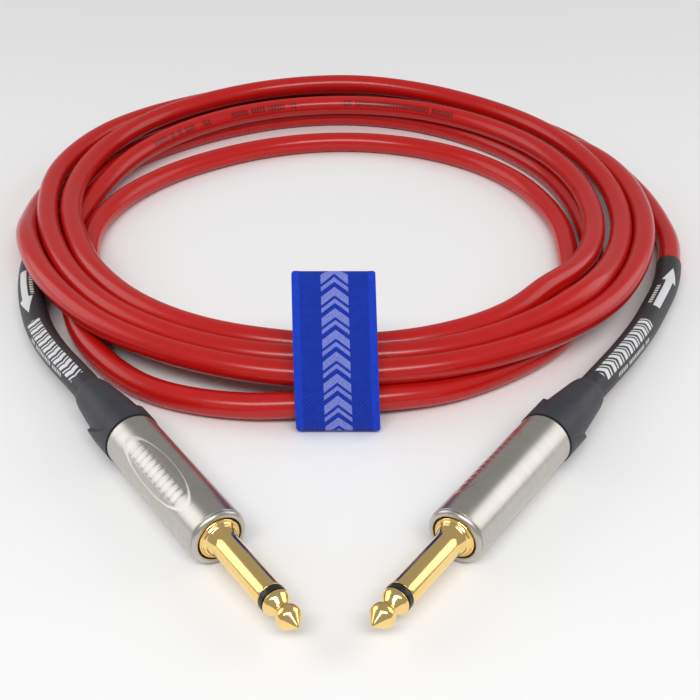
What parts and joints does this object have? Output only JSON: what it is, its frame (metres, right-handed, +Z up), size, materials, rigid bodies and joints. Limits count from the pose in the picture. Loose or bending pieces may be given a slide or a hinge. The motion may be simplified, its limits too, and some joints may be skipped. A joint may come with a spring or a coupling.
{
  "type": "instrument cable",
  "caption": "Coiled red instrument cable with straight 6.35 mm plugs in nickel shells, black boots and sleeves, tied with a blue hook-and-loop strap.",
  "frame": {"origin": "on the surface that the cable lies on, in the middle of the two plugs, their sleeves and the strap", "axes": "+X from the left plug towards the right plug, +Y from the plugs towards the coil, +Z up from the surface"},
  "size_m": [0.2077, 0.2943, 0.0344],
  "materials": {
    "cord_jacket": "glossy red PVC jacket",
    "nickel": "satin nickel plate",
    "gold": "polished gold plate",
    "black_plastic": "moulded black",
    "grey_plastic": "moulded grey",
    "tag_metal": "tinned stamping",
    "core_insulation": "off-white insulation",
    "copper": "twisted bare copper",
    "boot_rubber": "satin black rubber",
    "shrink_sleeve": "satin black heat-shrink",
    "strap_tape": "woven royal blue tape",
    "strap_hooks": "moulded hooks"
  },
  "bodies": {
    "cable": {"coil": "cord_jacket", "cord_inner_turn": "cord_jacket", "cord_end_left": "cord_jacket", "cord_end_right": "cord_jacket", "left_shell": "nickel", "left_tip_contact": "gold", "left_sleeve_contact": "gold", "left_tip_insulator": "black_plastic", "left_rear_insulator": "black_plastic", "left_tip_lug": "tag_metal", "left_ground_lug": "tag_metal", "left_core_wire": "core_insulation", "left_shield_pigtail": "copper", "left_heatshrink": "shrink_sleeve", "right_shell": "nickel", "right_tip_contact": "gold", "right_sleeve_contact": "gold", "right_tip_insulator": "black_plastic", "right_rear_insulator": "black_plastic", "right_tip_lug": "tag_metal", "right_ground_lug": "tag_metal", "right_core_wire": "core_insulation", "right_shield_pigtail": "copper", "right_heatshrink": "shrink_sleeve", "strap_band": "strap_tape"},
    "left_clamp": {"left_chuck": "grey_plastic"},
    "left_bush": {"left_gland": "black_plastic", "left_boot": "boot_rubber"},
    "right_clamp": {"right_chuck": "grey_plastic"},
    "right_bush": {"right_gland": "black_plastic", "right_boot": "boot_rubber"},
    "strap_flap": {"strap_tail": "strap_tape", "strap_hook_patch": "strap_hooks"}
  },
  "joints": [
    {"name": "left_gland_draw", "type": "slide", "parent": "cable", "child": "left_clamp", "axis": [-0.5635, 0.8261, 0], "range_m": [0, 0.006]},
    {"name": "left_gland_turn", "type": "hinge", "parent": "left_clamp", "child": "left_bush", "pos_m": [-0.0285, -0.0537, 0.0068], "axis": [-0.5635, 0.8261, 0], "range_deg": [0, 1440]},
    {"name": "right_gland_draw", "type": "slide", "parent": "cable", "child": "right_clamp", "axis": [0.5693, 0.8221, 0], "range_m": [0, 0.006]},
    {"name": "right_gland_turn", "type": "hinge", "parent": "right_clamp", "child": "right_bush", "pos_m": [0.0219, -0.0534, 0.0068], "axis": [0.5693, 0.8221, 0], "range_deg": [0, 1440]},
    {"name": "strap_peel", "type": "hinge", "parent": "cable", "child": "strap_flap", "pos_m": [-0.004, 0.02061, 0.02823], "axis": [1, 0, 0], "range_deg": [0, 100]}
  ],
  "couplings": [
    {"joint": "left_gland_draw", "follows": "left_gland_turn", "m_per_rad": 0.00023873},
    {"joint": "right_gland_draw", "follows": "right_gland_turn", "m_per_rad": 0.00023873}
  ]
}
